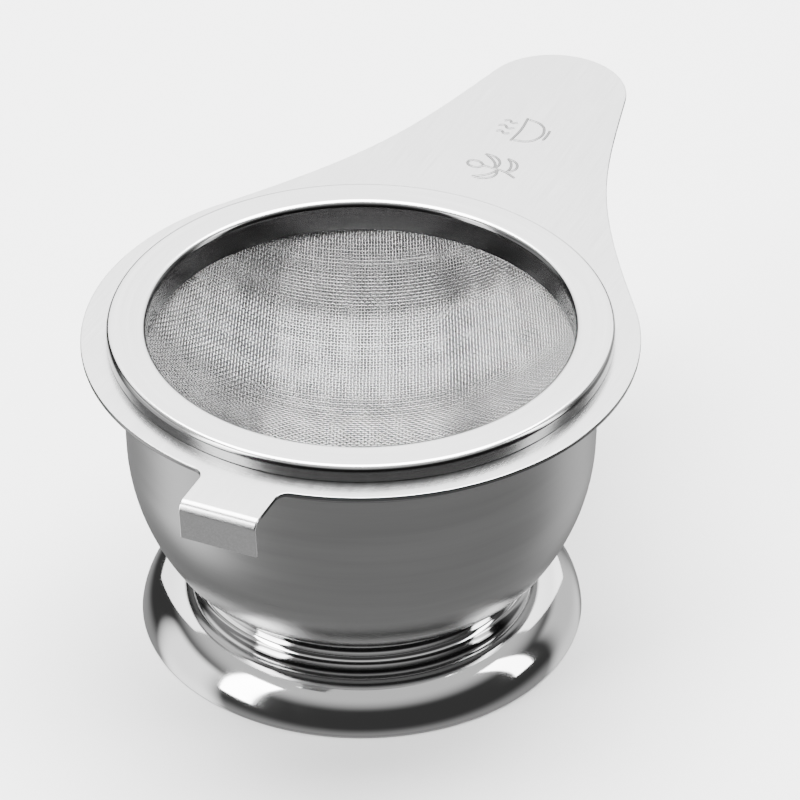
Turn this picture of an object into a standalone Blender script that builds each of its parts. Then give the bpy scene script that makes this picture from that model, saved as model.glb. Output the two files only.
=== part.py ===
"""Tea strainer with its drip bowl, in pressed and spun stainless steel sheet.

The strainer rests on the bowl's rolled rim: a flat handle plate with a hanging hook, a raised
rim ring, a two-layer wire basket and the band that holds the basket's edge. The bowl stands on
a flared foot. The handle points along +X, +Z is up, and the origin lies on the ground under the
middle of the whole set. Lengths are in metres.
"""

import math

import bmesh
import bpy

MM = 0.001
DEGREE = math.pi / 180.0

# Shared by all pieces
SEGMENTS = 40                      # sides of every turned piece; one corner lies on +X
FIT_GAP = 0.3 * MM                 # gap between pieces that touch

# Drip bowl, spun from thin sheet
BOWL_SHEET = 0.5 * MM
RIM_RADIUS = 40.0 * MM             # outside of the rolled rim
RIM_TOP_Z = 51.1 * MM
ROLL_RADIUS = 1.55 * MM            # outside radius of the rolled edge
ROLL_TURN = 285.0 * DEGREE         # how far the edge is rolled round
WALL_BEND_Z = 34.2 * MM            # height where the side starts to curve in
WALL_DRAFT = 0.5 * MM              # the side is this much narrower at the bend than at the rim
WALL_BEND_RADIUS = 34.0 * MM       # curve of the side below the bend
CORNER_RADIUS = 5.0 * MM           # tighter curve where the side meets the floor
BOWL_FLOOR_Z = 13.0 * MM           # underside of the bowl's floor

# Foot, spun from sheet
FOOT_SHEET = 0.6 * MM
COLLAR_RADIUS = 27.3 * MM
COLLAR_LIP_RADIUS = 0.7 * MM
COLLAR_BORE_RADIUS = 19.0 * MM     # opening in the flange that carries the bowl
WAIST_INSET = 1.4 * MM             # the waist is this much inside the collar
WAIST_FILLET = 1.2 * MM
BELL_STEP = 1.0 * MM               # the bell's top starts this far outside the waist
BELL_TOP_Z = 7.9 * MM
FOOT_RADIUS = 35.2 * MM
BELL_RISE_POWER = 1.16             # shape of the bell between its top and its edge
BELL_SPREAD_POWER = 0.85
FOOT_LIP_WIDTH = 2.4 * MM          # edge turned inwards, which the set stands on

# Strainer plate
PLATE_SHEET = 0.8 * MM
PLATE_OVERHANG = 3.4 * MM          # how far the round plate passes the bowl's rim
HANDLE_LENGTH = 46.3 * MM          # from the round plate's edge to the tip
HANDLE_TIP_RADIUS = 12.0 * MM
NECK_TIP_ANGLE = 76.7 * DEGREE     # where the neck leaves the round tip
NECK_RING_ANGLE = 55.7 * DEGREE    # where the neck meets the round plate
NECK_TIP_PULL = 23.2 * MM          # how firmly the neck's curve follows its two ends
NECK_RING_PULL = 30.4 * MM

# Hanging hook, bent from the plate opposite the handle
HOOK_STANDOFF = 8.4 * MM           # from the round plate's edge to the hook's outer face
HOOK_WIDTH = 12.6 * MM
HOOK_ROOT_FILLET = 2.0 * MM
HOOK_INNER_BEND = 0.8 * MM
HOOK_BEND_ANGLE = 95.0 * DEGREE
HOOK_LIP_LENGTH = 4.9 * MM

# Rim ring, pressed from sheet and welded on the plate
RING_SHEET = 0.6 * MM
RING_SEAT = 3.0 * MM               # how far the ring covers the plate outside its hole
RING_HEIGHT = 2.6 * MM             # flange top above the plate
RING_OUTER_FILLET = 1.0 * MM
RING_INNER_FILLET = 1.2 * MM
RING_WALL_DEPTH = 2.6 * MM         # how far the inner wall goes below the plate's top

# Wire basket, two layers, and the band round its edge
BASKET_CLEARANCE = 0.8 * MM        # between the band and the inside of the bowl's rim
WIRE_LAYER = 0.4 * MM
BASKET_DEPTH = 15.5 * MM           # from the dome's edge to its lowest point
BAND_SHEET = 0.6 * MM
BAND_BOTTOM_DROP = 0.6 * MM        # band's lower edge below the ring's inner wall

# Sizes that follow: the foot's neck, then the strainer's rings from the bowl's rim inwards
WAIST_RADIUS = COLLAR_RADIUS - WAIST_INSET
BELL_TOP_RADIUS = WAIST_RADIUS + BELL_STEP
BAND_OUTER_RADIUS = RIM_RADIUS - 2.0 * ROLL_RADIUS - BASKET_CLEARANCE
BAND_RADIUS = BAND_OUTER_RADIUS - BAND_SHEET
OUTER_SKIRT_RADIUS = BAND_RADIUS - FIT_GAP - WIRE_LAYER
INNER_SKIRT_RADIUS = OUTER_SKIRT_RADIUS - FIT_GAP - WIRE_LAYER
RING_BORE_RADIUS = INNER_SKIRT_RADIUS - FIT_GAP - RING_SHEET
PLATE_HOLE_RADIUS = BAND_OUTER_RADIUS + FIT_GAP
RING_SKIRT_RADIUS = PLATE_HOLE_RADIUS + RING_SEAT
PLATE_RADIUS = RIM_RADIUS + PLATE_OVERHANG
HANDLE_REACH = PLATE_RADIUS + HANDLE_LENGTH
HOOK_REACH = PLATE_RADIUS + HOOK_STANDOFF

# Places that follow: heights of the basket are measured from the plate's top
PLATE_TOP_Z = RIM_TOP_Z + FIT_GAP + PLATE_SHEET
AXIS_X = (HOOK_REACH - HANDLE_REACH) / 2.0
SKIRT_TOP_Z = RING_HEIGHT - RING_SHEET - FIT_GAP
DOME_EDGE_Z = -RING_WALL_DEPTH - FIT_GAP


def clear_scene():
    for thing in list(bpy.data.objects):
        bpy.data.objects.remove(thing, do_unlink=True)


def steel(name, colour, roughness):
    material = bpy.data.materials.new(name)
    material.use_nodes = True
    shader = material.node_tree.nodes["Principled BSDF"]
    shader.inputs["Base Color"].default_value = (*colour, 1.0)
    shader.inputs["Metallic"].default_value = 1.0
    shader.inputs["Roughness"].default_value = roughness
    return material


def arc(centre, radius, start, end, steps):
    """Points from angle start to angle end round a centre, both ends included."""
    points = []
    for step in range(steps + 1):
        angle = start + (end - start) * step / steps
        points.append((centre[0] + radius * math.cos(angle), centre[1] + radius * math.sin(angle)))
    return points


def curve(first, first_pull, last_pull, last, steps):
    """Points of a cubic curve between two ends, pulled towards two control points."""
    points = []
    for step in range(steps + 1):
        t = step / steps
        weights = ((1 - t) ** 3, 3 * t * (1 - t) ** 2, 3 * t * t * (1 - t), t ** 3)
        corners = (first, first_pull, last_pull, last)
        points.append(tuple(sum(w * c[i] for w, c in zip(weights, corners)) for i in (0, 1)))
    return points


def sheet_section(face, thickness):
    """Closed outline of a sheet: its face, then its back, which lies to the right of the face."""
    normals = []
    for (r0, z0), (r1, z1) in zip(face, face[1:]):
        length = math.hypot(r1 - r0, z1 - z0)
        normals.append(((z1 - z0) / length, (r0 - r1) / length))
    back = []
    for index, (r, z) in enumerate(face):
        before = normals[max(index - 1, 0)]
        after = normals[min(index, len(normals) - 1)]
        spread = 1.0 + before[0] * after[0] + before[1] * after[1]
        back.append((r + thickness * (before[0] + after[0]) / spread,
                     z + thickness * (before[1] + after[1]) / spread))
    if face[0][0] == 0.0:
        back[0] = (0.0, back[0][1])
    return face + back[::-1]


def finish(name, mesh_data, material, parent=None):
    """Make one named object from a bmesh, shaded smooth except at sharp edges."""
    bmesh.ops.recalc_face_normals(mesh_data, faces=mesh_data.faces)
    mesh = bpy.data.meshes.new(name)
    mesh_data.to_mesh(mesh)
    mesh_data.free()
    mesh.shade_smooth()
    mesh.set_sharp_from_angle(angle=35.0 * DEGREE)
    mesh.materials.append(material)
    thing = bpy.data.objects.new(name, mesh)
    bpy.context.collection.objects.link(thing)
    thing.parent = parent
    return thing


def turned(name, section, material, parent=None):
    """Turn a section of (radius, height) points round the object's own Z axis."""
    spun = bmesh.new()
    points = [spun.verts.new((r, 0.0, z)) for r, z in section]
    edges = [spun.edges.new(pair) for pair in zip(points, points[1:])]
    if section[0][0] > 0.0:
        edges.append(spun.edges.new((points[-1], points[0])))
    bmesh.ops.spin(spun, geom=points + edges, cent=(0, 0, 0), axis=(0, 0, 1),
                   angle=2.0 * math.pi, steps=SEGMENTS, use_merge=True)
    bmesh.ops.remove_doubles(spun, verts=spun.verts, dist=0.001 * MM)
    return finish(name, spun, material, parent)


def bowl_face():
    """Inside face of the bowl from the middle of its floor up and round the rolled rim."""
    wall_radius = RIM_RADIUS - 2.0 * ROLL_RADIUS + BOWL_SHEET
    bend_radius = wall_radius - WALL_DRAFT
    bend_centre = (bend_radius - WALL_BEND_RADIUS, WALL_BEND_Z)
    corner_reach = WALL_BEND_RADIUS - CORNER_RADIUS
    corner_angle = math.asin((WALL_BEND_Z - BOWL_FLOOR_Z - CORNER_RADIUS) / corner_reach)
    corner_centre = (bend_centre[0] + corner_reach * math.cos(corner_angle),
                     bend_centre[1] - corner_reach * math.sin(corner_angle))
    floor_z = BOWL_FLOOR_Z + BOWL_SHEET
    face = [(0.0, floor_z)]
    face += arc(corner_centre, CORNER_RADIUS - BOWL_SHEET, -90.0 * DEGREE, -corner_angle, 3)
    face += arc(bend_centre, WALL_BEND_RADIUS - BOWL_SHEET, -corner_angle, 0.0, 5)[1:]
    roll_centre = (RIM_RADIUS - ROLL_RADIUS, RIM_TOP_Z - ROLL_RADIUS)
    face += arc(roll_centre, ROLL_RADIUS, math.pi, math.pi - ROLL_TURN, 10)
    return face


def make_bowl(material):
    bowl = turned("bowl", sheet_section(bowl_face(), BOWL_SHEET), material)
    bowl.location.x = AXIS_X


def foot_face():
    """Outside face of the foot from the flange under the bowl down to the turned-in lip."""
    flange_z = BOWL_FLOOR_Z - FIT_GAP
    face = [(COLLAR_BORE_RADIUS, flange_z)]
    lip_centre = (COLLAR_RADIUS - COLLAR_LIP_RADIUS, flange_z - COLLAR_LIP_RADIUS)
    face += arc(lip_centre, COLLAR_LIP_RADIUS, 90.0 * DEGREE, -40.0 * DEGREE, 4)
    waist_z = BELL_TOP_Z + WAIST_FILLET
    face.append((WAIST_RADIUS, waist_z + WAIST_FILLET))
    fillet_centre = (WAIST_RADIUS + WAIST_FILLET, waist_z)
    face += arc(fillet_centre, WAIST_FILLET, 180.0 * DEGREE, 235.0 * DEGREE, 2)
    bell_steps = 8
    for step in range(bell_steps + 1):
        angle = 90.0 * DEGREE * (1.0 - step / bell_steps)
        spread = math.cos(angle) ** BELL_SPREAD_POWER if step else 0.0
        rise = math.sin(angle) ** BELL_RISE_POWER if step < bell_steps else 0.0
        face.append((BELL_TOP_RADIUS + (FOOT_RADIUS - BELL_TOP_RADIUS) * spread,
                     BELL_TOP_Z * rise))
    face.append((FOOT_RADIUS - FOOT_LIP_WIDTH, 0.0))
    return face


def make_foot(material):
    foot = turned("foot", sheet_section(foot_face(), FOOT_SHEET), material)
    foot.location.x = AXIS_X


def make_strainer_axis():
    """Empty on the basket's axis at the plate's top face, which carries the strainer's pieces."""
    axis = bpy.data.objects.new("strainer_axis", None)
    bpy.context.collection.objects.link(axis)
    axis.location = (AXIS_X, 0.0, PLATE_TOP_Z)
    return axis


def plate_half_outline():
    """Edge of the plate on its +Y side, from the handle's tip to the end of the hook's tab."""
    tip = (HANDLE_REACH - HANDLE_TIP_RADIUS, 0.0)
    outline = arc(tip, HANDLE_TIP_RADIUS, 0.0, NECK_TIP_ANGLE, 6)
    ring_start = arc((0.0, 0.0), PLATE_RADIUS, NECK_RING_ANGLE, NECK_RING_ANGLE, 1)[0]
    neck_start = outline[-1]
    start_pull = (neck_start[0] - NECK_TIP_PULL * math.sin(NECK_TIP_ANGLE),
                  neck_start[1] + NECK_TIP_PULL * math.cos(NECK_TIP_ANGLE))
    end_pull = (ring_start[0] + NECK_RING_PULL * math.sin(NECK_RING_ANGLE),
                ring_start[1] - NECK_RING_PULL * math.cos(NECK_RING_ANGLE))
    outline += curve(neck_start, start_pull, end_pull, ring_start, 10)[1:-1]
    half_tab = HOOK_WIDTH / 2.0
    fillet_y = half_tab + HOOK_ROOT_FILLET
    fillet_x = -math.sqrt((PLATE_RADIUS + HOOK_ROOT_FILLET) ** 2 - fillet_y ** 2)
    root_angle = math.atan2(fillet_y, fillet_x)
    outline += arc((0.0, 0.0), PLATE_RADIUS, NECK_RING_ANGLE, 90.0 * DEGREE, 4)[:-1]
    outline += arc((0.0, 0.0), PLATE_RADIUS, 90.0 * DEGREE, root_angle, 10)
    outline += arc((fillet_x, fillet_y), HOOK_ROOT_FILLET, root_angle - math.pi, -90.0 * DEGREE, 3)[1:]
    outline.append((-HOOK_REACH + HOOK_INNER_BEND + PLATE_SHEET, half_tab))
    return outline


def bend_hook(plate):
    """Bend the tab's end face down and give it its straight lip."""
    end = min(plate.faces, key=lambda face: face.calc_center_median().x)
    centre = (-HOOK_REACH + HOOK_INNER_BEND + PLATE_SHEET, 0.0, -PLATE_SHEET - HOOK_INNER_BEND)
    bent = bmesh.ops.spin(plate, geom=[end], cent=centre, axis=(0, -1, 0),
                          angle=HOOK_BEND_ANGLE, steps=5)
    tip = [item for item in bent["geom_last"] if isinstance(item, bmesh.types.BMFace)]
    if end.is_valid:
        bmesh.ops.delete(plate, geom=[end], context="FACES_ONLY")
    lip = bmesh.ops.extrude_face_region(plate, geom=tip)
    bmesh.ops.delete(plate, geom=tip, context="FACES_ONLY")
    lip_points = [item for item in lip["geom"] if isinstance(item, bmesh.types.BMVert)]
    drop = (-HOOK_LIP_LENGTH * math.cos(HOOK_BEND_ANGLE), 0.0,
            -HOOK_LIP_LENGTH * math.sin(HOOK_BEND_ANGLE))
    bmesh.ops.translate(plate, verts=lip_points, vec=drop)


def make_hole_cutter(axis):
    cutter = bmesh.new()
    bmesh.ops.create_cone(cutter, cap_ends=True, segments=SEGMENTS, radius1=PLATE_HOLE_RADIUS,
                          radius2=PLATE_HOLE_RADIUS, depth=4.0 * PLATE_SHEET)
    thing = finish("plate_hole_cutter", cutter, steel("guide", (0.5, 0.5, 0.5), 0.5), axis)
    thing.display_type = "WIRE"
    thing.hide_render = True
    return thing


def make_handle_plate(material, axis):
    half = plate_half_outline()
    outline = half + [(x, -y) for x, y in reversed(half) if y > 0.0]
    plate = bmesh.new()
    floor = plate.faces.new([plate.verts.new((x, y, -PLATE_SHEET)) for x, y in outline])
    raised = bmesh.ops.extrude_face_region(plate, geom=[floor])
    top = [item for item in raised["geom"] if isinstance(item, bmesh.types.BMVert)]
    bmesh.ops.translate(plate, verts=top, vec=(0.0, 0.0, PLATE_SHEET))
    bend_hook(plate)
    thing = finish("handle_plate", plate, material, axis)
    cut = thing.modifiers.new("basket_hole", "BOOLEAN")
    cut.operation = "DIFFERENCE"
    cut.solver = "EXACT"
    cut.object = make_hole_cutter(axis)


def rim_ring_face():
    """Visible face of the ring: up its inner wall, across the flange and down the skirt."""
    inner_centre = (RING_BORE_RADIUS + RING_INNER_FILLET, RING_HEIGHT - RING_INNER_FILLET)
    outer_centre = (RING_SKIRT_RADIUS - RING_OUTER_FILLET, RING_HEIGHT - RING_OUTER_FILLET)
    face = [(RING_BORE_RADIUS, -RING_WALL_DEPTH)]
    face += arc(inner_centre, RING_INNER_FILLET, 180.0 * DEGREE, 90.0 * DEGREE, 3)
    face += arc(outer_centre, RING_OUTER_FILLET, 90.0 * DEGREE, 0.0, 3)
    face.append((RING_SKIRT_RADIUS, FIT_GAP))
    return face


def make_rim_ring(material, axis):
    turned("rim_ring", sheet_section(rim_ring_face(), RING_SHEET), material, axis)


def wire_face(skirt_radius):
    """Inside face of one basket layer: up the round dome, then up its straight skirt.

    Every layer shares the centre of the inner dome, so the gap between layers is even.
    """
    inner_dome = (INNER_SKIRT_RADIUS ** 2 + BASKET_DEPTH ** 2) / (2.0 * BASKET_DEPTH)
    centre_z = DOME_EDGE_Z - BASKET_DEPTH + inner_dome
    dome_radius = inner_dome + skirt_radius - INNER_SKIRT_RADIUS
    edge_angle = -math.acos(skirt_radius / dome_radius)
    face = arc((0.0, centre_z), dome_radius, -90.0 * DEGREE, edge_angle, 6)
    face[0] = (0.0, face[0][1])
    face.append((skirt_radius, SKIRT_TOP_Z))
    return face


def make_basket(material, axis):
    layers = (("mesh_inner", INNER_SKIRT_RADIUS), ("mesh_outer", OUTER_SKIRT_RADIUS))
    for name, radius in layers:
        turned(name, sheet_section(wire_face(radius), WIRE_LAYER), material, axis)


def make_retaining_ring(material, axis):
    bottom = -RING_WALL_DEPTH - BAND_BOTTOM_DROP
    face = [(BAND_RADIUS, bottom), (BAND_RADIUS, SKIRT_TOP_Z)]
    turned("retaining_ring", sheet_section(face, BAND_SHEET), material, axis)


def build():
    clear_scene()
    make_bowl(steel("brushed_steel", (0.55, 0.55, 0.56), 0.32))
    make_foot(steel("mirror_steel", (0.62, 0.62, 0.63), 0.07))
    axis = make_strainer_axis()
    make_handle_plate(steel("plate_steel", (0.78, 0.78, 0.79), 0.22), axis)
    make_rim_ring(steel("ring_steel", (0.76, 0.76, 0.77), 0.2), axis)
    make_basket(steel("wire_steel", (0.45, 0.45, 0.46), 0.4), axis)
    make_retaining_ring(steel("band_steel", (0.6, 0.6, 0.61), 0.25), axis)


build()
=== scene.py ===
import math

import bpy
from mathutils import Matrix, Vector


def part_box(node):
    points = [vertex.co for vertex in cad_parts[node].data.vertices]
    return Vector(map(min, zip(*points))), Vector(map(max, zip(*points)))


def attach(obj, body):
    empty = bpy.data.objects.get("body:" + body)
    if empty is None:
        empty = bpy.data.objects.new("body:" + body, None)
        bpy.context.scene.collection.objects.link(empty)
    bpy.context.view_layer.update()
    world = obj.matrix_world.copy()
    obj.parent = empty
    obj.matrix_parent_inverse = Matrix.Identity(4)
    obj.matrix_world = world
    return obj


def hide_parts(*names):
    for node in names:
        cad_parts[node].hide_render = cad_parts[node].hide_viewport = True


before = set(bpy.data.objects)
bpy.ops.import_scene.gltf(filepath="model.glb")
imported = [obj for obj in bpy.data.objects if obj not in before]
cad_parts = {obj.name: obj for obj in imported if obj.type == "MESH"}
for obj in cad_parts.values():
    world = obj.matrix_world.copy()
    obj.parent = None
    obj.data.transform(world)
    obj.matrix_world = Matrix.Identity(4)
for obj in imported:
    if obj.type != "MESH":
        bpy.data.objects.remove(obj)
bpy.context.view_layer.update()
print("frame loaded:", len(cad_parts), "CAD nodes")

mm = 0.001
degree = math.pi / 180
weldGap = 0.002 * mm      # corners of a drawing closer than this are one corner
capGap = 0.001 * mm       # the same at the round ends of wires and strokes

# places and sizes that the CAD pieces already fix
bowlLow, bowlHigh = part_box("bowl")
footLow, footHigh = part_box("foot")
plateLow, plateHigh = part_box("handle_plate")
ringLow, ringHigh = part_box("rim_ring")
innerLow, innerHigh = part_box("mesh_inner")
outerLow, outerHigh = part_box("mesh_outer")
bandLow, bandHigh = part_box("retaining_ring")
axisX = (bowlLow[0] + bowlHigh[0]) / 2
plateTop = plateHigh[2]


# drawing, thickening and smoothing, shared by all the pieces

def deselectAll():
    if bpy.context.object and bpy.context.object.mode == "EDIT":
        bpy.ops.object.mode_set(mode="OBJECT")
    bpy.ops.object.select_all(action="DESELECT")


def pick(piece):
    deselectAll()
    piece.select_set(True)
    bpy.context.view_layer.objects.active = piece


def startPoint(name, place):
    # a plane merged into one vertex, which is then extruded into a drawing
    deselectAll()
    bpy.ops.mesh.primitive_plane_add(size=mm, location=(0, 0, 0))
    piece = bpy.context.object
    piece.name = name
    piece.data.name = name
    bpy.ops.object.mode_set(mode="EDIT")
    bpy.ops.mesh.select_mode(type="VERT")
    bpy.ops.mesh.select_all(action="SELECT")
    bpy.ops.mesh.merge(type="CENTER")
    bpy.ops.transform.translate(value=place)
    return piece


def extrudeAlong(points):
    for before, after in zip(points, points[1:]):
        step = [b - a for a, b in zip(before, after)]
        bpy.ops.mesh.extrude_region_move(TRANSFORM_OT_translate={"value": step})


def arc(centre, radius, start, end, steps):
    angles = [start + (end - start) * step / steps for step in range(steps + 1)]
    return [(centre[0] + radius * math.cos(a), centre[1] + radius * math.sin(a)) for a in angles]


def cubic(first, firstPull, lastPull, last, steps):
    points = []
    for step in range(steps + 1):
        t = step / steps
        parts = ((1 - t) ** 3, 3 * t * (1 - t) ** 2, 3 * t * t * (1 - t), t ** 3)
        corners = (first, firstPull, lastPull, last)
        points.append(tuple(sum(w * c[i] for w, c in zip(parts, corners)) for i in (0, 1)))
    return points


def between(first, last, parts):
    # the points that divide a straight line into equal parts, without its ends
    return [tuple(first[i] + (last[i] - first[i]) * part / parts for i in (0, 1)) for part in range(1, parts)]


def applyModifiers(piece):
    pick(piece)
    for modifier in list(piece.modifiers):
        bpy.ops.object.modifier_apply(modifier=modifier.name)


def softenEdges(piece, width, angle=50, segments=2):
    bevel = piece.modifiers.new("softEdge", "BEVEL")
    bevel.width = width
    bevel.segments = segments
    bevel.limit_method = "ANGLE"
    bevel.angle_limit = angle * degree


def smooth(piece, angle=35):
    # smooth shading in which the flat faces stay flat beside their rounded edges
    pick(piece)
    bpy.ops.object.shade_smooth_by_angle(angle=angle * degree)
    flat = piece.modifiers.new("flatFaces", "WEIGHTED_NORMAL")
    flat.keep_sharp = True
    applyModifiers(piece)


def turnedSheet(name, face, sheet, edge, steps=192):
    # the visible face's section is drawn beside the axis and spun, then given the sheet's thickness
    piece = startPoint(name, (axisX + face[0][0], 0, face[0][1]))
    extrudeAlong([(axisX + r, 0, z) for r, z in face])
    bpy.ops.mesh.select_all(action="SELECT")
    bpy.ops.mesh.spin(steps=steps, angle=2 * math.pi, center=(axisX, 0, 0), axis=(0, 0, 1))
    bpy.ops.mesh.select_all(action="SELECT")
    bpy.ops.mesh.remove_doubles(threshold=weldGap)
    bpy.ops.mesh.normals_make_consistent(inside=False)
    bpy.ops.object.mode_set(mode="OBJECT")
    wall = piece.modifiers.new("sheet", "SOLIDIFY")
    wall.thickness = sheet
    wall.offset = -1
    wall.use_even_offset = True
    softenEdges(piece, edge)
    applyModifiers(piece)
    smooth(piece)
    return piece


def roundCurve(name, radius, roundness):
    curve = bpy.data.curves.new(name, "CURVE")
    curve.dimensions = "3D"
    curve.bevel_depth = radius
    curve.bevel_resolution = roundness
    curve.use_fill_caps = True
    return curve


def curveToMesh(curve):
    # the round ends are closed once the corners of their caps are merged
    piece = bpy.data.objects.new(curve.name, curve)
    bpy.context.collection.objects.link(piece)
    pick(piece)
    bpy.ops.object.convert(target="MESH")
    piece = bpy.context.object
    bpy.ops.object.mode_set(mode="EDIT")
    bpy.ops.mesh.select_mode(type="VERT")
    bpy.ops.mesh.select_all(action="SELECT")
    bpy.ops.mesh.remove_doubles(threshold=capGap)
    bpy.ops.object.mode_set(mode="OBJECT")
    return piece


def dress(piece, body, material):
    piece.data.materials.clear()
    piece.data.materials.append(material)
    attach(piece, body)


class Value:
    # a shader value that ordinary arithmetic can be written on
    def __init__(self, nodes, socket):
        self.nodes = nodes
        self.socket = socket

    def maths(self, operation, first, second):
        return self.nodes.add("ShaderNodeMath", {"operation": operation}, {0: first, 1: second})

    def __add__(self, other):
        return self.maths("ADD", self, other)

    __radd__ = __add__

    def __sub__(self, other):
        return self.maths("SUBTRACT", self, other)

    def __rsub__(self, other):
        return self.maths("SUBTRACT", other, self)

    def __mul__(self, other):
        return self.maths("MULTIPLY", self, other)

    def __truediv__(self, other):
        return self.maths("DIVIDE", self, other)

    def __pow__(self, other):
        return self.maths("POWER", self, other)

    def rise(self, low, high):
        # 0 below low and 1 above high, with a soft step between them
        settings = {"interpolation_type": "SMOOTHSTEP"}
        return self.nodes.add("ShaderNodeMapRange", settings, {0: self, 1: low, 2: high, 3: 0, 4: 1})


def radiusAt(x, y):
    return (x * x + y * y) ** 0.5


class Nodes:
    # the nodes of one material or world, which all come from add
    def __init__(self, tree):
        self.tree = tree

    def feed(self, socket, value):
        if isinstance(value, Value):
            self.tree.links.new(value.socket, socket)
        else:
            socket.default_value = value

    def add(self, kind, settings=None, sockets=None, output=0):
        node = self.tree.nodes.new(kind)
        for key, value in (settings or {}).items():
            if key == "stops":
                self.setStops(node.color_ramp, value)
            else:
                setattr(node, key, value)
        for key, value in (sockets or {}).items():
            self.feed(node.inputs[key], value)
        return Value(self, node.outputs[output])

    def setStops(self, ramp, stops):
        ramp.interpolation = "EASE"
        while len(ramp.elements) < len(stops):
            ramp.elements.new(0.5)
        for stop, (position, brightness) in zip(ramp.elements, stops):
            stop.position = position
            stop.color = grey(brightness)

    def split(self, vector):
        parts = self.tree.nodes.new("ShaderNodeSeparateXYZ")
        self.feed(parts.inputs[0], vector)
        return [Value(self, parts.outputs[axis]) for axis in range(3)]


axisRoom = 0.01 * mm      # keeps the turning marks off a division by zero at the axis
wallShare = 1.3           # how much height counts beside radius, so that upright walls are marked too


class Finish(Nodes):
    # one material, with the patterns that the pieces share
    def __init__(self, name, colour, roughness, metallic=1.0, anisotropy=0.0):
        self.material = bpy.data.materials.new(name)
        self.material.use_nodes = True
        super().__init__(self.material.node_tree)
        self.shader = self.tree.nodes["Principled BSDF"]
        self.set("Base Color", colour)
        self.set("Roughness", roughness)
        self.set("Metallic", metallic)
        self.set("Anisotropic", anisotropy)

    def set(self, socket, value):
        self.feed(self.shader.inputs[socket], value)

    def position(self):
        # x from the basket's axis, y and z, in metres
        here = self.add("ShaderNodeTexCoord", output="Object")
        return self.split(self.add("ShaderNodeMapping", {"vector_type": "POINT"},
                                   {"Vector": here, "Location": (-axisX, 0, 0)}))

    def point(self, x, y, z):
        return self.add("ShaderNodeCombineXYZ", sockets={0: x, 1: y, 2: z})

    def noise(self, where, scale=1.0, detail=4.0, roughness=0.6):
        return self.add("ShaderNodeTexNoise", sockets={
            "Vector": where, "Scale": scale, "Detail": detail, "Roughness": roughness}, output="Fac")

    def mixed(self, amount, first, second):
        # a colour mix, whose colour sockets are 6, 7 and output 2
        return self.add("ShaderNodeMix", {"data_type": "RGBA"}, {0: amount, 6: first, 7: second}, output=2)

    def tinted(self, pattern, look, low=0.3, high=0.7):
        return self.mixed(pattern.rise(low, high), look["dark"], look["colour"])

    def roughened(self, pattern, look, spread):
        return look["roughness"] + (pattern - 0.5) * look[spread]

    def bump(self, height, depth):
        self.set("Normal", self.add("ShaderNodeBump", sockets={"Height": height, "Distance": depth}))

    def turningMarks(self, fineness, wander):
        # lines that run round the axis, as a lathe or a buffing wheel leaves them
        x, y, z = self.position()
        radius = radiusAt(x, y) + axisRoom
        along = (radius + z * wallShare) * fineness
        return self.noise(self.point(x / radius * wander, y / radius * wander, along), detail=3)


def grey(value):
    return (value, value, value, 1)


bowlLook = {
    "colour": grey(0.38), "dark": grey(0.325),
    "satinRoughness": 0.30, "polishedRoughness": 0.10,
    "anisotropy": 0.75,
    "lineFineness": 2200, "lineWander": 0.9, "lineDepth": 0.0006 * mm,
    "bandFineness": 185, "bandWander": 0.7,
    "fineShare": 0.2, "toneRange": (0.25, 0.75), "roughnessSpread": 0.06,
    "rimBand": 3.0 * mm,                    # the rolled rim is polished this far down
    "rollInside": 36.9 * mm,                # radius where the wall ends and the roll begins
    "seamInside": 26.0 * mm,                # radius past which the underside is polished
    "bottomBand": (1.2 * mm, 4.0 * mm),     # heights above the floor where the polish fades
    "fade": 0.3 * mm, "wideFade": 1.0 * mm,
}


def bowlSteel():
    look = bowlLook
    finish = Finish("spunSteel", look["colour"], look["satinRoughness"], anisotropy=look["anisotropy"])
    x, y, z = finish.position()
    radius = radiusAt(x, y)
    fine = finish.turningMarks(look["lineFineness"], look["lineWander"])
    broad = finish.turningMarks(look["bandFineness"], look["bandWander"])
    rimBottom = bowlHigh[2] - look["rimBand"]
    onRoll = z.rise(rimBottom - look["fade"], rimBottom)
    onRoll = onRoll * radius.rise(look["rollInside"] - look["fade"], look["rollInside"])
    low = 1 - z.rise(bowlLow[2] + look["bottomBand"][0], bowlLow[2] + look["bottomBand"][1])
    onSeam = low * radius.rise(look["seamInside"], look["seamInside"] + look["wideFade"])
    satin = 1 - onRoll - onSeam
    tone = (fine * look["fineShare"] + broad * (1 - look["fineShare"])).rise(*look["toneRange"])
    finish.set("Base Color", finish.mixed(tone, look["dark"], look["colour"]))
    rough = look["polishedRoughness"] + satin * (look["satinRoughness"] - look["polishedRoughness"])
    finish.set("Roughness", rough + (tone - 0.5) * look["roughnessSpread"] * satin)
    finish.bump(fine * satin, look["lineDepth"])
    return finish.material


footLook = {
    "colour": grey(0.64), "roughness": 0.055, "anisotropy": 0.2,
    "lineFineness": 1500, "lineWander": 1.2, "lineDepth": 0.003 * mm, "lineRoughness": 0.03,
    "smudgeScale": 70, "smudgeRange": (0.45, 0.75), "smudgeRoughness": 0.05,
    "recessPaintedShade": grey(0.10),             # painted shade on the waist under the seam
    "recess": (9.6 * mm, 11.8 * mm), "recessRadius": 26.4 * mm, "fade": 0.5 * mm,
}


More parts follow.
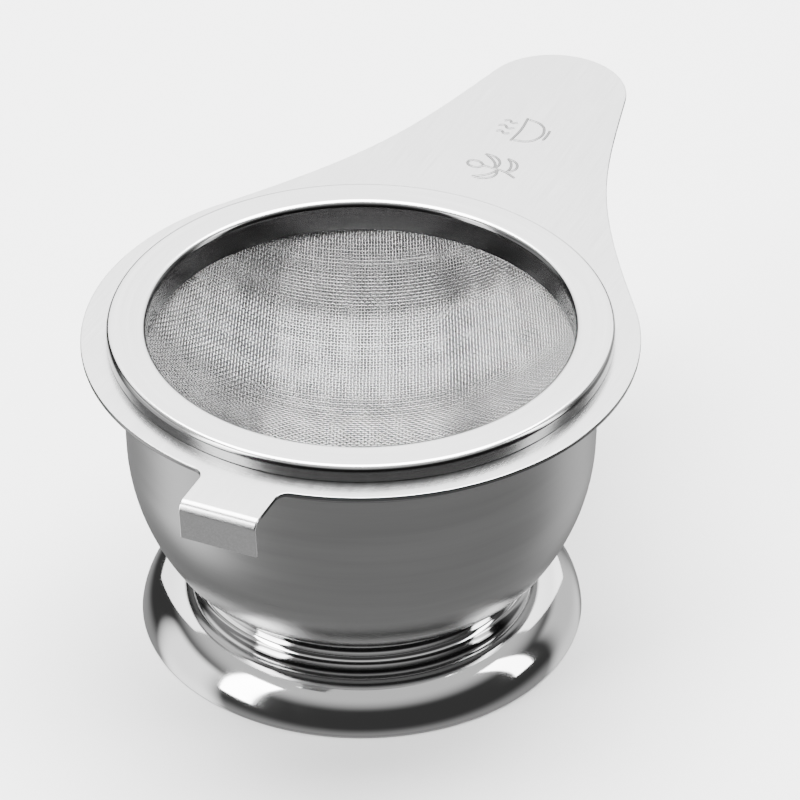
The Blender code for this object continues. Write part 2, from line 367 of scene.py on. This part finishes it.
def footSteel():
    look = footLook
    finish = Finish("mirrorSteel", look["colour"], look["roughness"], anisotropy=look["anisotropy"])
    lines = finish.turningMarks(look["lineFineness"], look["lineWander"])
    x, y, z = finish.position()
    smudge = finish.noise(finish.point(x, y, z), scale=look["smudgeScale"], detail=3)
    low, high = look["recess"]
    fade = look["fade"]
    outside = radiusAt(x, y).rise(look["recessRadius"], look["recessRadius"] + fade)
    # painted shade on the waist, between the recess heights and inside the recess radius
    waistShadeMask = z.rise(low, low + fade) * (1 - z.rise(high, high + fade)) * (1 - outside)
    finish.set("Base Color", finish.mixed(waistShadeMask, look["colour"], look["recessPaintedShade"]))
    smudged = look["roughness"] + smudge.rise(*look["smudgeRange"]) * look["smudgeRoughness"]
    finish.set("Roughness", smudged + lines * look["lineRoughness"])
    finish.bump(lines, look["lineDepth"])
    return finish.material


plateLook = {
    "colour": grey(0.74), "dark": grey(0.66), "roughness": 0.24,
    "grain": (90, 3600, 3600),              # much finer across the handle than along it
    "grainDepth": 0.004 * mm, "grainRoughness": 0.12,
    "cloudScale": 45, "cloudRoughness": 0.08,
    "edgePaintedShade": grey(0.14),               # painted shade on the plate's cut edge
    "edgeFade": (0.02 * mm, 0.10 * mm),     # depths below each face where the edge's painted shade comes in
    "hookRoot": (-50 * mm, -49 * mm),       # past here the hook bends down and gets no painted shade
}


def plateSteel():
    look = plateLook
    finish = Finish("satinSheetSteel", look["colour"], look["roughness"])
    x, y, z = finish.position()
    along, across, through = look["grain"]
    grain = finish.noise(finish.point(x * along, y * across, z * through), detail=5)
    cloud = finish.noise(finish.point(x, y, z), scale=look["cloudScale"], detail=3)
    near, deep = look["edgeFade"]
    plateBottom = plateTop - plate["sheet"]
    # painted shade on the cut edge between the top and bottom faces
    edge = z.rise(plateBottom + near, plateBottom + deep) * (1 - z.rise(plateTop - deep, plateTop - near))
    edge = edge * x.rise(*look["hookRoot"])
    finish.set("Base Color", finish.mixed(edge, finish.tinted(grain, look), look["edgePaintedShade"]))
    brushed = finish.roughened(grain, look, "grainRoughness")
    finish.set("Roughness", brushed + (cloud - 0.5) * look["cloudRoughness"])
    finish.bump(grain, look["grainDepth"])
    return finish.material


ringLook = {
    "colour": grey(0.80), "dark": grey(0.74), "roughness": 0.16, "anisotropy": 0.3,
    "lineFineness": 2200, "lineWander": 1.4, "lineDepth": 0.005 * mm, "lineRoughness": 0.12,
    "wallPaintedShade": grey(0.07),               # painted shade on the wall inside the ring
    "wallRadius": 33.4 * mm, "wallFade": 0.5 * mm,
    "skirtPaintedShade": grey(0.14),              # painted shade on the outside of the ring, down to the plate
    "skirtFade": (0.5 * mm, 0.1 * mm),      # distances inside the ring's widest place
}


def ringSteel():
    look = ringLook
    finish = Finish("polishedRingSteel", look["colour"], look["roughness"], anisotropy=look["anisotropy"])
    lines = finish.turningMarks(look["lineFineness"], look["lineWander"])
    x, y, z = finish.position()
    radius = radiusAt(x, y)
    # painted shade on the ring's inner wall, fading out above wallRadius
    pastShadedWall = radius.rise(look["wallRadius"], look["wallRadius"] + look["wallFade"])
    widest = (ringHigh[0] - ringLow[0]) / 2
    # painted shade on the ring's outer skirt, just inside its widest place
    skirt = radius.rise(widest - look["skirtFade"][0], widest - look["skirtFade"][1])
    inside = finish.mixed(pastShadedWall, look["wallPaintedShade"], finish.tinted(lines, look))
    finish.set("Base Color", finish.mixed(skirt, inside, look["skirtPaintedShade"]))
    finish.set("Roughness", finish.roughened(lines, look, "lineRoughness"))
    finish.bump(lines, look["lineDepth"])
    return finish.material


wireLook = {
    "colour": grey(0.48), "dark": grey(0.41), "roughness": 0.18,
    "patchScale": 260, "patchRoughness": 0.2,
}


def wireSteel():
    look = wireLook
    finish = Finish("drawnWireSteel", look["colour"], look["roughness"])
    patches = finish.noise(finish.point(*finish.position()), scale=look["patchScale"], detail=3)
    finish.set("Base Color", finish.tinted(patches, look))
    finish.set("Roughness", finish.roughened(patches, look, "patchRoughness"))
    return finish.material


# painted shade: the whole band is coloured far darker than the ring's steel, for the shade it sits in inside
# the basket
bandLook = {
    "colour": grey(0.36), "dark": grey(0.30), "roughness": 0.24,
    "lineFineness": 1800, "lineWander": 1.0, "lineDepth": 0.006 * mm, "lineRoughness": 0.14,
}


def bandSteel():
    look = bandLook
    finish = Finish("rolledBandSteel", look["colour"], look["roughness"])
    lines = finish.turningMarks(look["lineFineness"], look["lineWander"])
    finish.set("Base Color", finish.tinted(lines, look))
    finish.set("Roughness", finish.roughened(lines, look, "lineRoughness"))
    finish.bump(lines, look["lineDepth"])
    return finish.material


bowl = {
    "sheet": 0.5 * mm, "edge": 0.08 * mm,
    "rollRadius": 1.55 * mm, "rollTurn": 285 * degree,
    "bendAboveFloor": 21.2 * mm,          # height of the wall's bend above the bowl's underside
    "draft": 0.5 * mm,                    # how much the wall leans in, from the rim to the bend
    "bendRadius": 34 * mm, "cornerRadius": 5 * mm,
}


def makeBowl():
    rimRadius = (bowlHigh[0] - bowlLow[0]) / 2
    bendZ = bowlLow[2] + bowl["bendAboveFloor"]
    bendX = rimRadius - 2 * bowl["rollRadius"] + bowl["sheet"] - bowl["draft"]
    bendCentre = (bendX - bowl["bendRadius"], bendZ)
    reach = bowl["bendRadius"] - bowl["cornerRadius"]
    angle = math.asin((bowl["bendAboveFloor"] - bowl["cornerRadius"]) / reach)
    cornerCentre = (bendCentre[0] + reach * math.cos(angle), bendCentre[1] - reach * math.sin(angle))
    middle = (0, bowlLow[2] + bowl["sheet"])
    face = [middle] + between(middle, (cornerCentre[0], middle[1]), parts=4)
    face += arc(cornerCentre, bowl["cornerRadius"] - bowl["sheet"], -90 * degree, -angle, steps=8)
    face += arc(bendCentre, bowl["bendRadius"] - bowl["sheet"], -angle, 0, steps=18)[1:]
    rollCentre = (rimRadius - bowl["rollRadius"], bowlHigh[2] - bowl["rollRadius"])
    roll = arc(rollCentre, bowl["rollRadius"], math.pi, math.pi - bowl["rollTurn"], steps=30)
    face += between(face[-1], roll[0], parts=5) + roll
    return turnedSheet("spunBowl", face, bowl["sheet"], bowl["edge"])


spunBowl = makeBowl()
dress(spunBowl, "drip_bowl", bowlSteel())
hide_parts("bowl")
print("bowl made")

foot = {
    "sheet": 0.6 * mm, "edge": 0.1 * mm,
    "bore": 19 * mm,                      # hole in the flange under the bowl
    "collarRadius": 27.3 * mm, "collarLip": 0.7 * mm, "collarEnd": -50 * degree,
    "neckPull": (-0.5 * mm, -0.4 * mm),   # how the collar's curve runs down into the waist
    "waistRadius": 25.9 * mm, "waistPull": 0.8 * mm,
    "waistFillet": 1.2 * mm, "filletTurn": (170 * degree, 238 * degree),
    "bellTopRadius": 26.9 * mm, "bellTop": 7.9 * mm, "bellSteps": 36,
    "risePower": 1.16, "spreadPower": 0.85,
    "lipWidth": 2.4 * mm, "lipFold": 0.35 * mm,
    "lipRoom": 1.1,                       # the bell ends this many folds above the floor
}


def bellPoints(footRadius):
    points = []
    for step in range(foot["bellSteps"] + 1):
        angle = 90 * degree * (1 - step / foot["bellSteps"])
        spread = math.cos(angle) ** foot["spreadPower"] if step else 0
        rise = math.sin(angle) ** foot["risePower"] if step < foot["bellSteps"] else 0
        points.append((foot["bellTopRadius"] + (footRadius - foot["bellTopRadius"]) * spread,
                       foot["bellTop"] * rise))
    return [p for p in points if p[1] > foot["lipFold"] * foot["lipRoom"]]


def makeFoot():
    footRadius = (footHigh[0] - footLow[0]) / 2
    lipCentre = (foot["collarRadius"] - foot["collarLip"], footHigh[2] - foot["collarLip"])
    face = [(foot["bore"], footHigh[2]), ((foot["bore"] + lipCentre[0]) / 2, footHigh[2])]
    face += arc(lipCentre, foot["collarLip"], 90 * degree, foot["collarEnd"], steps=12)
    filletCentre = (foot["waistRadius"] + foot["waistFillet"], foot["bellTop"] + foot["waistFillet"])
    waist = arc(filletCentre, foot["waistFillet"], *foot["filletTurn"], steps=8)
    neckPull = (face[-1][0] + foot["neckPull"][0], face[-1][1] + foot["neckPull"][1])
    waistPull = (waist[0][0], waist[0][1] + foot["waistPull"])
    face += cubic(face[-1], neckPull, waistPull, waist[0], steps=6)[1:-1]
    face += waist + bellPoints(footRadius)
    foldCentre = (footRadius - foot["lipFold"], foot["lipFold"])
    face += arc(foldCentre, foot["lipFold"], 0, -90 * degree, steps=5)
    face.append((footRadius - foot["lipWidth"], 0))
    return turnedSheet("spunFoot", face, foot["sheet"], foot["edge"])


spunFoot = makeFoot()
dress(spunFoot, "drip_bowl", footSteel())
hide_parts("foot")
print("foot made")

plate = {
    "sheet": 0.8 * mm, "hole": 36.4 * mm, "cutterHeight": 4 * mm, "holeSteps": 192,
    "tipRadius": 12 * mm, "tipAngle": 76.7 * degree, "ringAngle": 55.7 * degree,
    "tipPull": 23.2 * mm, "ringPull": 30.4 * mm,
    "hookWidth": 12.6 * mm, "rootFillet": 2 * mm,
    "hookBend": 0.8 * mm, "hookAngle": 95 * degree, "hookLip": 4.9 * mm, "bendSteps": 12,
    "edge": 0.22 * mm, "edgeAngle": 40,
    "endFacing": -0.99, "endRoom": 0.01 * mm,     # how the tab's end face is told from the others
}


def plateOutline():
    tipX = plateHigh[0] - axisX
    plateRadius = (plateHigh[1] - plateLow[1]) / 2
    half = arc((tipX - plate["tipRadius"], 0), plate["tipRadius"], 0, plate["tipAngle"], steps=20)
    neckStart = half[-1]
    neckEnd = arc((0, 0), plateRadius, plate["ringAngle"], plate["ringAngle"], steps=1)[0]
    startPull = (neckStart[0] - plate["tipPull"] * math.sin(plate["tipAngle"]),
                 neckStart[1] + plate["tipPull"] * math.cos(plate["tipAngle"]))
    endPull = (neckEnd[0] + plate["ringPull"] * math.sin(plate["ringAngle"]),
               neckEnd[1] - plate["ringPull"] * math.cos(plate["ringAngle"]))
    half += cubic(neckStart, startPull, endPull, neckEnd, steps=32)[1:-1]
    filletY = plate["hookWidth"] / 2 + plate["rootFillet"]
    filletX = -math.sqrt((plateRadius + plate["rootFillet"]) ** 2 - filletY ** 2)
    rootAngle = math.atan2(filletY, filletX)
    half += arc((0, 0), plateRadius, plate["ringAngle"], rootAngle, steps=58)
    half += arc((filletX, filletY), plate["rootFillet"], rootAngle - math.pi, -90 * degree, steps=8)[1:]
    bendX = plateLow[0] - axisX + plate["hookBend"] + plate["sheet"]
    half.append((bendX, plate["hookWidth"] / 2))
    return half + [(x, -y) for x, y in reversed(half) if y > 0] + [half[0]]


def selectFaces(piece, test):
    # leaves edit mode and comes back, so that the choice made on the mesh is seen
    bpy.ops.mesh.select_all(action="DESELECT")
    bpy.ops.object.mode_set(mode="OBJECT")
    for face in piece.data.polygons:
        face.select = test(face)
    bpy.ops.object.mode_set(mode="EDIT")
    bpy.ops.mesh.select_mode(type="FACE")


def bendHook(piece):
    # the tab's end face is bent down round the hook's inner radius, a little at a time
    bendX = plateLow[0] + plate["hookBend"] + plate["sheet"]
    centre = (bendX, 0, plateTop - plate["sheet"] - plate["hookBend"])
    endX = bendX + plate["endRoom"]
    selectFaces(piece, lambda face: face.normal.x < plate["endFacing"] and face.center.x < endX)
    for step in range(plate["bendSteps"]):
        bpy.ops.mesh.extrude_region_move()
        bpy.ops.transform.rotate(value=plate["hookAngle"] / plate["bendSteps"], orient_axis="Y",
                                 orient_type="GLOBAL", center_override=centre)
    drop = (-plate["hookLip"] * math.cos(plate["hookAngle"]), 0,
            -plate["hookLip"] * math.sin(plate["hookAngle"]))
    bpy.ops.mesh.extrude_region_move(TRANSFORM_OT_translate={"value": drop})
    bpy.ops.object.mode_set(mode="OBJECT")


def cutHole(piece):
    deselectAll()
    bpy.ops.mesh.primitive_cylinder_add(vertices=plate["holeSteps"], radius=plate["hole"],
                                        depth=plate["cutterHeight"], location=(axisX, 0, plateTop))
    cutter = bpy.context.object
    cut = piece.modifiers.new("basketHole", "BOOLEAN")
    cut.operation = "DIFFERENCE"
    cut.solver = "EXACT"
    cut.object = cutter
    applyModifiers(piece)
    bpy.data.objects.remove(cutter, do_unlink=True)


def makePlate():
    outline = plateOutline()
    piece = startPoint("handlePlate", (axisX + outline[0][0], outline[0][1], plateTop))
    extrudeAlong([(axisX + x, y, plateTop) for x, y in outline])
    bpy.ops.mesh.select_all(action="SELECT")
    bpy.ops.mesh.remove_doubles(threshold=weldGap)
    bpy.ops.mesh.edge_face_add()
    bpy.ops.mesh.extrude_region_move(TRANSFORM_OT_translate={"value": (0, 0, -plate["sheet"])})
    bpy.ops.mesh.select_all(action="SELECT")
    bpy.ops.mesh.normals_make_consistent(inside=False)
    bendHook(piece)
    cutHole(piece)
    softenEdges(piece, plate["edge"], angle=plate["edgeAngle"], segments=3)
    applyModifiers(piece)
    smooth(piece, plate["edgeAngle"])
    return piece


handlePlate = makePlate()
dress(handlePlate, "strainer", plateSteel())
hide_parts("handle_plate")
print("handle plate made")

# two small raised pictures on the handle's centre line, in millimetres from their own middles
cupStrokes = [
    [(-3.7, 0.7), (0, 0.4), (3.7, 0.7)],
    [(-3.4, 0.3), (-2.9, -1.9), (-1.3, -3.2), (1.3, -3.2), (2.9, -1.9), (3.4, 0.3)],
    [(-1.5, -4.1), (0, -4.2), (1.5, -4.1)],
    [(-1.7, 1.7), (-2.1, 2.5), (-1.5, 3.2), (-1.9, 4.0)],
    [(0.1, 1.6), (-0.4, 2.5), (0.3, 3.4), (-0.1, 4.4)],
    [(1.8, 1.7), (1.4, 2.5), (2.0, 3.2), (1.6, 4.0)],
]
sprigStrokes = [
    [(-1.3, -4.3), (-0.3, -2.2), (0, 0.2), (0.1, 1.6)],
    [(0.1, 1.6), (-0.9, 2.8), (0.3, 4.5), (1.0, 2.9), (0.1, 1.6)],
    [(-0.1, -0.2), (1.2, 0.1), (2.3, 1.0), (3.5, 2.7)],
    [(-0.1, -0.2), (1.6, -0.5), (3.1, 0.6), (3.5, 2.7)],
    [(-0.1, -0.9), (-1.4, -0.4), (-2.4, 0.4), (-3.6, 2.2)],
    [(-0.1, -0.9), (-2.0, -1.1), (-3.4, 0.2), (-3.6, 2.2)],
    [(-0.4, -2.4), (1.0, -2.6), (2.4, -2.2), (3.6, -1.2)],
    [(-0.4, -2.4), (1.2, -3.5), (2.9, -2.9), (3.6, -1.2)],
]
marks = {
    "strokeWidth": 0.48 * mm, "rise": 0.12 * mm, "curveSteps": 6, "roundness": 2, "smoothAngle": 60,
    "cupFromAxis": 64.6 * mm, "sprigFromAxis": 52 * mm,
}
# the marks' dark grey is painted shade, standing in for the shade along their low relief
markLook = {"colour": grey(0.20), "roughness": 0.3}


def makeMark(name, strokes, fromAxis):
    # round strokes flattened to a low relief, sunk halfway into the plate
    drawing = roundCurve(name, marks["strokeWidth"] / 2, marks["roundness"])
    drawing.resolution_u = marks["curveSteps"]
    for stroke in strokes:
        line = drawing.splines.new("BEZIER")
        line.bezier_points.add(len(stroke) - 1)
        for knot, (right, up) in zip(line.bezier_points, stroke):
            knot.co = (right * mm, up * mm, 0)
            knot.handle_left_type = knot.handle_right_type = "AUTO"
    piece = curveToMesh(drawing)
    flatness = 2 * marks["rise"] / marks["strokeWidth"]
    bpy.ops.object.mode_set(mode="EDIT")
    bpy.ops.transform.resize(value=(1, 1, flatness), center_override=(0, 0, 0))
    bpy.ops.transform.translate(value=(axisX + fromAxis, 0, plateTop))
    bpy.ops.object.mode_set(mode="OBJECT")
    smooth(piece, marks["smoothAngle"])
    return piece


shadedMarkSteel = Finish("stampedSteel", markLook["colour"], markLook["roughness"]).material
for mark in (makeMark("cupMark", cupStrokes, marks["cupFromAxis"]),
             makeMark("sprigMark", sprigStrokes, marks["sprigFromAxis"])):
    dress(mark, "strainer", shadedMarkSteel)
print("handle marks made")

ring = {
    "sheet": 0.6 * mm, "edge": 0.12 * mm, "bore": 33.2 * mm,
    "outerFillet": 1.0 * mm, "innerFillet": 1.2 * mm,
    "abovePlate": 0.05 * mm,
}


def makeRing():
    skirt = (ringHigh[0] - ringLow[0]) / 2
    top = ringHigh[2]
    innerCentre = (ring["bore"] + ring["innerFillet"], top - ring["innerFillet"])
    outerCentre = (skirt - ring["outerFillet"], top - ring["outerFillet"])
    wallBottom = (ring["bore"], ringLow[2])
    face = [wallBottom] + between(wallBottom, (ring["bore"], innerCentre[1]), parts=3)
    face += arc(innerCentre, ring["innerFillet"], 180 * degree, 90 * degree, steps=12)
    face += arc(outerCentre, ring["outerFillet"], 90 * degree, 0, steps=12)
    face.append((skirt, plateTop + ring["abovePlate"]))
    return turnedSheet("rimRing", face, ring["sheet"], ring["edge"])


rimRing = makeRing()
dress(rimRing, "strainer", ringSteel())
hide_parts("rim_ring")

band = {"sheet": 0.6 * mm, "edge": 0.15 * mm}


def makeBand():
    inner = (bandHigh[0] - bandLow[0]) / 2 - band["sheet"]
    bottom, top = (inner, bandLow[2]), (inner, bandHigh[2])
    face = [bottom] + between(bottom, top, parts=4) + [top]
    return turnedSheet("basketBand", face, band["sheet"], band["edge"])


basketBand = makeBand()
dress(basketBand, "strainer", bandSteel())
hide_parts("retaining_ring")
print("ring and band made")

wires = {
    "pitch": 0.54 * mm, "radius": 0.098 * mm, "roundness": 0, "crimp": 0.09 * mm,
    "sheet": 0.4 * mm,                    # thickness of one woven layer
    "depth": 15.5 * mm,                   # of the dome, from its edge down
    "skirtRise": 1.4 * mm,                # how far the wires run up behind the ring's wall
    "innerTurn": 23 * degree, "outerTurn": 29 * degree,
}


def domeOf(low, high):
    # middle surface of one basket layer: its skirt's radius, dome radius, centre height, edge angle
    skirt = (high[0] - low[0]) / 2 - wires["sheet"] / 2
    innerSkirt = (innerHigh[0] - innerLow[0]) / 2 - wires["sheet"]
    innerDome = (innerSkirt ** 2 + wires["depth"] ** 2) / (2 * wires["depth"])
    radius = innerDome + skirt - innerSkirt
    centreZ = low[2] + wires["sheet"] / 2 + radius
    return skirt, radius, centreZ, math.asin(skirt / radius)


def onDome(dome, across, along, lift):
    # a point of the flat cloth laid on the dome, and past the dome's edge up the straight skirt
    skirt, radius, centreZ, edgeAngle = dome
    reach = math.hypot(across, along)
    if reach == 0:
        return (axisX, 0, centreZ - radius + lift)
    towards = (across / reach, along / reach)
    angle = reach / radius
    if angle < edgeAngle:
        r = (radius - lift) * math.sin(angle)
        z = centreZ - (radius - lift) * math.cos(angle)
    else:
        r = skirt - lift
        z = centreZ - radius * math.cos(edgeAngle) + reach - radius * edgeAngle
    return (axisX + r * towards[0], r * towards[1], z)


def makeWires(name, dome, turn, firstSide):
    # parallel wires, each going over one crossing wire and under the next
    limit = dome[1] * dome[3] + wires["skirtRise"]
    count = int(limit / wires["pitch"])
    cloth = roundCurve(name, wires["radius"], wires["roundness"])
    for line in range(-count, count + 1):
        across = line * wires["pitch"]
        half = int(math.sqrt(max(limit ** 2 - across ** 2, 0)) / wires["pitch"])
        if half < 1:
            continue
        coordinates = []
        for crossing in range(-half, half + 1):
            along = crossing * wires["pitch"]
            side = firstSide if (line + crossing) % 2 else -firstSide
            flatX = along * math.cos(turn) - across * math.sin(turn)
            flatY = along * math.sin(turn) + across * math.cos(turn)
            coordinates += [*onDome(dome, flatX, flatY, side * wires["crimp"]), 1]
        wire = cloth.splines.new("POLY")
        wire.points.add(2 * half)
        wire.points.foreach_set("co", coordinates)
        wire.use_smooth = True
    return curveToMesh(cloth)


wireMetal = wireSteel()
for layer, node, box, turn in (("inner", "mesh_inner", (innerLow, innerHigh), wires["innerTurn"]),
                               ("outer", "mesh_outer", (outerLow, outerHigh), wires["outerTurn"])):
    dome = domeOf(*box)
    for direction, quarterTurn, firstSide in (("Warp", 0, 1), ("Weft", 90 * degree, -1)):
        cloth = makeWires(layer + "Wire" + direction, dome, turn + quarterTurn, firstSide)
        dress(cloth, "strainer", wireMetal)
        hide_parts(node)
        print(cloth.name, len(cloth.data.polygons), "faces")

view = {
    "azimuth": -66, "elevation": 35, "distance": 0.85, "aim": (-4 * mm, 0, 30 * mm),
    "lens": 240, "clip": (0.01, 20),
}


def directionFrom(azimuth, elevation):
    a, e = azimuth * degree, elevation * degree
    return Vector((math.sin(a) * math.cos(e), -math.cos(a) * math.cos(e), math.sin(e)))


def aimAt(item, target, towards, distance):
    # stands a lamp or camera off in one direction and turns it to face the target
    item.location = Vector(target) + towards * distance
    item.rotation_mode = "QUATERNION"
    item.rotation_quaternion = (-towards).to_track_quat("-Z", "Y")


def makeCamera():
    bpy.ops.object.camera_add()
    camera = bpy.context.object
    camera.data.lens = view["lens"]
    camera.data.clip_start, camera.data.clip_end = view["clip"]
    aimAt(camera, view["aim"], directionFrom(view["azimuth"], view["elevation"]), view["distance"])
    bpy.context.scene.camera = camera


stage = {
    "size": 6, "below": 0.01 * mm, "colour": grey(0.94),
    "roughness": 0.55, "fibreScale": 180, "fibreRoughness": 0.1,
}


def makeStage():
    deselectAll()
    bpy.ops.mesh.primitive_plane_add(size=stage["size"], location=(0, 0, -stage["below"]))
    floor = bpy.context.object
    floor.name = "paleFloor"
    floor.visible_glossy = False          # the steel reflects the studio and not the paper
    finish = Finish("palePaper", stage["colour"], stage["roughness"], metallic=0)
    fibre = finish.noise(finish.point(*finish.position()), scale=stage["fibreScale"])
    finish.set("Roughness", stage["roughness"] + fibre * stage["fibreRoughness"])
    floor.data.materials.append(finish.material)


studio = {
    # height of a direction, from -1 straight down to 1 straight up, and the brightness there
    "brightness": ((-1.0, 0.45), (-0.45, 0.42), (-0.12, 0.06), (0.40, 0.06), (0.80, 1.0)),
    "background": 6.0,                    # what the camera sees past the floor
    "poleRoom": 0.001,                    # keeps a direction straight up off a division by zero
    # upright light panels: side they stand on, from the camera's, how wide, and how bright
    "panels": ((-96, 27, 2.6), (130, 28, 1.1)),
    "panelFoot": (-0.84, -0.60),          # heights between which a panel starts and is full
    "panelHead": (0.30, 0.50),            # heights between which it fades and ends
    # softboxes: side from the camera's, elevation, distance, width and height in metres, watts
    "softboxes": {
        "keyLeft": (-62, 24, 0.9, (0.30, 0.8), 16),
        "rimRight": (85, 25, 0.9, (0.2, 0.7), 6),
        "top": (180, 74, 1.0, (1.0, 0.7), 42),
        "back": (180, 33, 1.3, (2.4, 1.2), 34),
    },
    "softboxAim": (axisX, 0, 30 * mm),
}


def makeWorld():
    # bright above, dark at the horizon, and plain pale where the camera looks straight at it
    world = bpy.data.worlds.new("studio")
    bpy.context.scene.world = world
    world.use_nodes = True
    nodes = Nodes(world.node_tree)
    east, north, height = nodes.split(nodes.add("ShaderNodeTexCoord", output="Generated"))
    stops = [((where + 1) / 2, brightness) for where, brightness in studio["brightness"]]
    light = nodes.add("ShaderNodeValToRGB", {"stops": stops}, {0: (height + 1) / 2})
    upright = height.rise(*studio["panelFoot"]) * (1 - height.rise(*studio["panelHead"]))
    level = radiusAt(east, north) + studio["poleRoom"]
    for side, width, brightness in studio["panels"]:
        towards = directionFrom(view["azimuth"] + side, 0)
        facing = (east * towards.x + north * towards.y) / level
        panel = facing.rise(math.cos(width * degree), math.cos(width * degree / 3))
        light = light + panel * brightness * upright
    seen = nodes.add("ShaderNodeLightPath", output="Is Camera Ray")
    choice = nodes.add("ShaderNodeMix", {}, {0: seen, 2: light, 3: studio["background"]})
    background = nodes.tree.nodes["Background"]
    nodes.feed(background.inputs["Color"], grey(1))
    nodes.feed(background.inputs["Strength"], choice)


def makeSoftbox(name, side, elevation, distance, size, power):
    bpy.ops.object.light_add(type="AREA")
    light = bpy.context.object
    light.name = name
    light.data.shape = "RECTANGLE"
    light.data.size, light.data.size_y = size
    light.data.energy = power
    aimAt(light, studio["softboxAim"], directionFrom(view["azimuth"] + side, elevation), distance)


makeStage()
makeWorld()
for name, settings in studio["softboxes"].items():
    makeSoftbox(name, *settings)
makeCamera()
print("stage, lights and camera placed")
